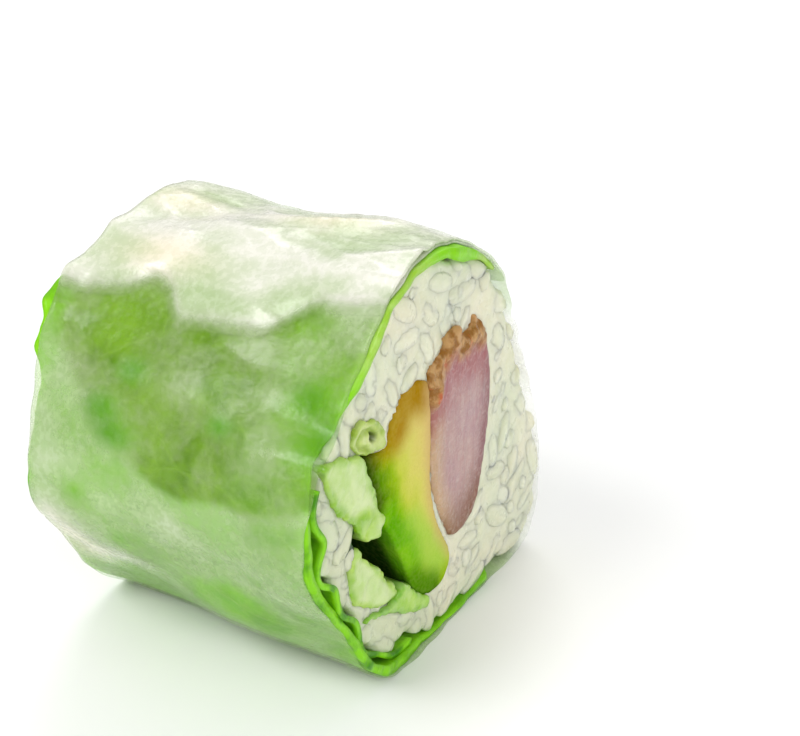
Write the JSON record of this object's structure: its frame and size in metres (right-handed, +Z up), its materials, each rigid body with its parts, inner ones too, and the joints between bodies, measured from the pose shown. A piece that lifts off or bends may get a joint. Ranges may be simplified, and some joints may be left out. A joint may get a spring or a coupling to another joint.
{
  "type": "sliced rice paper roll",
  "caption": "Slice of a rice paper roll on its side: translucent wrapper, lettuce leaf, rice ring, avocado, seared fish and lettuce heart.",
  "frame": {"origin": "on the surface that the slice rests on, under the middle of its bounding box", "axes": "+X along the roll, out of the front cut face; +Y across it, towards the side where rice lies bare behind the paper; +Z up"},
  "size_m": [0.0329, 0.0428, 0.04],
  "materials": {
    "rice_paper": "wet, translucent, milky, over the green leaf",
    "lettuce_leaf": "wet leaf green with paler veins",
    "rice": "cooked short grains, moist, slightly see-through",
    "seared_fish": "mauve pink flesh with fine fibres and a browned upper edge",
    "avocado": "soft flesh, pale yellow to green towards the skin side",
    "lettuce_heart": "crisp pale yellow green with greener frills"
  },
  "bodies": {
    "root": {"rice_paper": "rice_paper", "lettuce_leaf": "lettuce_leaf", "lettuce_leaf_inner": "lettuce_leaf", "rice": "rice", "seared_fish": "seared_fish", "avocado": "avocado", "lettuce_heart_upper": "lettuce_heart", "lettuce_heart_lower": "lettuce_heart", "lettuce_curl": "lettuce_heart", "lettuce_shred": "lettuce_leaf"}
  },
  "joints": []
}
